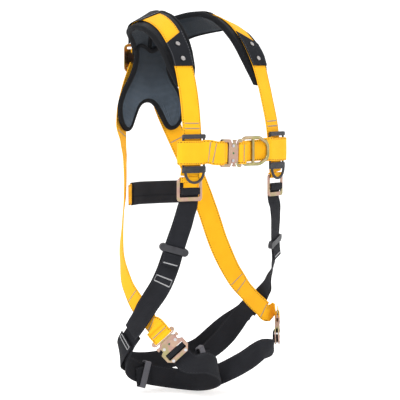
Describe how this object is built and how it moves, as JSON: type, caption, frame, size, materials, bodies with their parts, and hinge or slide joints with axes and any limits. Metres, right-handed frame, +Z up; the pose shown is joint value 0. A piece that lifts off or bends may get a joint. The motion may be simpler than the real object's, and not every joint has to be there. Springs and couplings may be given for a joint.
{
  "type": "full-body safety harness",
  "caption": "Full-body fall-arrest safety harness with padded yoke, quick-connect buckles, dorsal and sternal D-rings, standing as worn.",
  "frame": {"origin": "on the wearer's centre line at the crotch, level with the leg straps' inner runs; the lowest edge, on the right leg strap, is 17.5 mm below it", "axes": "+X to the wearer's left, +Y to the wearer's back, +Z up along the wearer"},
  "size_m": [0.3844, 0.3413, 0.822],
  "materials": {
    "pad_fabric": "woven mesh, matt",
    "flap_fabric": "smooth matt",
    "snap_metal": "satin",
    "yellow_webbing": "woven, matt",
    "black_webbing": "woven, matt",
    "grey_elastic": "ribbed, matt",
    "dark_plastic": "moulded, satin",
    "rivet_steel": "satin",
    "plated_steel": "yellow zinc plate, satin"
  },
  "bodies": {
    "harness": {"back_pad": "pad_fabric", "shoulder_pad_right": "pad_fabric", "shoulder_pad_left": "pad_fabric", "keeper_flap_right": "flap_fabric", "keeper_flap_left": "flap_fabric", "flap_snaps_right": "snap_metal", "flap_snaps_left": "snap_metal", "shoulder_strap_right": "yellow_webbing", "shoulder_strap_left": "yellow_webbing", "back_strap_right": "yellow_webbing", "back_strap_left": "yellow_webbing", "chest_strap_right": "yellow_webbing", "chest_strap_left": "yellow_webbing", "lumbar_strap": "yellow_webbing", "lumbar_sleeve": "black_webbing", "hip_strap_right": "black_webbing", "hip_strap_left": "black_webbing", "hip_strap_tail_right": "black_webbing", "hip_strap_tail_left": "black_webbing", "seat_strap": "black_webbing", "leg_strap_right": "black_webbing", "leg_strap_left": "black_webbing", "leg_strap_tail_right": "black_webbing", "leg_strap_tail_left": "black_webbing", "leg_keeper_right": "grey_elastic", "leg_keeper_left": "grey_elastic", "dorsal_plate": "plated_steel", "lanyard_keeper_right": "dark_plastic", "lanyard_keeper_left": "dark_plastic", "torso_adjuster_frame_right": "plated_steel", "torso_adjuster_frame_left": "plated_steel", "torso_adjuster_bar_right": "plated_steel", "torso_adjuster_bar_left": "plated_steel", "leg_buckle_left_front_plate": "plated_steel", "leg_buckle_left_back_plate": "plated_steel", "leg_buckle_left_rivets": "rivet_steel", "leg_buckle_right_front_plate": "plated_steel", "leg_buckle_right_back_plate": "plated_steel", "leg_buckle_right_rivets": "rivet_steel", "chest_buckle_front_plate": "plated_steel", "chest_buckle_back_plate": "plated_steel", "chest_buckle_rivets": "rivet_steel"},
    "leg_buckle_left_tongue": {"leg_buckle_left_tongue": "plated_steel", "leg_buckle_left_tongue_loop": "yellow_webbing"},
    "leg_buckle_left_tab_upper": {"leg_buckle_left_tab_upper": "plated_steel"},
    "leg_buckle_left_tab_lower": {"leg_buckle_left_tab_lower": "plated_steel"},
    "leg_buckle_right_tongue": {"leg_buckle_right_tongue": "plated_steel", "leg_buckle_right_tongue_loop": "yellow_webbing"},
    "leg_buckle_right_tab_upper": {"leg_buckle_right_tab_upper": "plated_steel"},
    "leg_buckle_right_tab_lower": {"leg_buckle_right_tab_lower": "plated_steel"},
    "chest_buckle_tongue": {"chest_buckle_tongue": "plated_steel", "chest_buckle_tongue_loop": "yellow_webbing"},
    "chest_buckle_tab_upper": {"chest_buckle_tab_upper": "plated_steel"},
    "chest_buckle_tab_lower": {"chest_buckle_tab_lower": "plated_steel"},
    "dorsal_ring": {"dorsal_ring": "plated_steel"},
    "sternal_ring": {"sternal_ring": "plated_steel"},
    "hip_keeper_right": {"hip_keeper_right": "dark_plastic"},
    "hip_keeper_left": {"hip_keeper_left": "dark_plastic"}
  },
  "joints": [
    {"name": "leg_buckle_left_release", "type": "slide", "parent": "harness", "child": "leg_buckle_left_tongue", "axis": [0.4976, 0.4617, 0.7343], "range_m": [0, 0.028]},
    {"name": "leg_buckle_left_tab_upper_press", "type": "slide", "parent": "harness", "child": "leg_buckle_left_tab_upper", "axis": [-0.5384, -0.4994, 0.6788], "range_m": [0, 0.003], "stiffness_N_per_m": 500},
    {"name": "leg_buckle_left_tab_lower_press", "type": "slide", "parent": "harness", "child": "leg_buckle_left_tab_lower", "axis": [0.5384, 0.4994, -0.6788], "range_m": [0, 0.003], "stiffness_N_per_m": 500},
    {"name": "leg_buckle_right_release", "type": "slide", "parent": "harness", "child": "leg_buckle_right_tongue", "axis": [-0.4976, 0.4617, 0.7343], "range_m": [0, 0.028]},
    {"name": "leg_buckle_right_tab_upper_press", "type": "slide", "parent": "harness", "child": "leg_buckle_right_tab_upper", "axis": [-0.5384, 0.4994, -0.6788], "range_m": [0, 0.003], "stiffness_N_per_m": 500},
    {"name": "leg_buckle_right_tab_lower_press", "type": "slide", "parent": "harness", "child": "leg_buckle_right_tab_lower", "axis": [0.5384, -0.4994, 0.6788], "range_m": [0, 0.003], "stiffness_N_per_m": 500},
    {"name": "chest_buckle_release", "type": "slide", "parent": "harness", "child": "chest_buckle_tongue", "axis": [0.9946, -0.0995, -0.0298], "range_m": [0, 0.028]},
    {"name": "chest_buckle_tab_upper_press", "type": "slide", "parent": "harness", "child": "chest_buckle_tab_upper", "axis": [0.0297, -0.003, 0.9996], "range_m": [0, 0.003], "stiffness_N_per_m": 500},
    {"name": "chest_buckle_tab_lower_press", "type": "slide", "parent": "harness", "child": "chest_buckle_tab_lower", "axis": [-0.0297, 0.003, -0.9996], "range_m": [0, 0.003], "stiffness_N_per_m": 500},
    {"name": "dorsal_ring_swing", "type": "hinge", "parent": "harness", "child": "dorsal_ring", "pos_m": [0, 0.198, 0.701], "axis": [1, 0, 0], "range_deg": [0, 170]},
    {"name": "sternal_ring_swing", "type": "hinge", "parent": "harness", "child": "sternal_ring", "pos_m": [0.041, -0.1205, 0.505], "axis": [0, 0, -1], "range_deg": [0, 35]},
    {"name": "hip_keeper_right_slide", "type": "slide", "parent": "harness", "child": "hip_keeper_right", "axis": [0.1981, -0.2377, 0.9509], "range_m": [0, 0.01]},
    {"name": "hip_keeper_left_slide", "type": "slide", "parent": "harness", "child": "hip_keeper_left", "axis": [-0.1981, -0.2377, 0.9509], "range_m": [0, 0.01]}
  ]
}
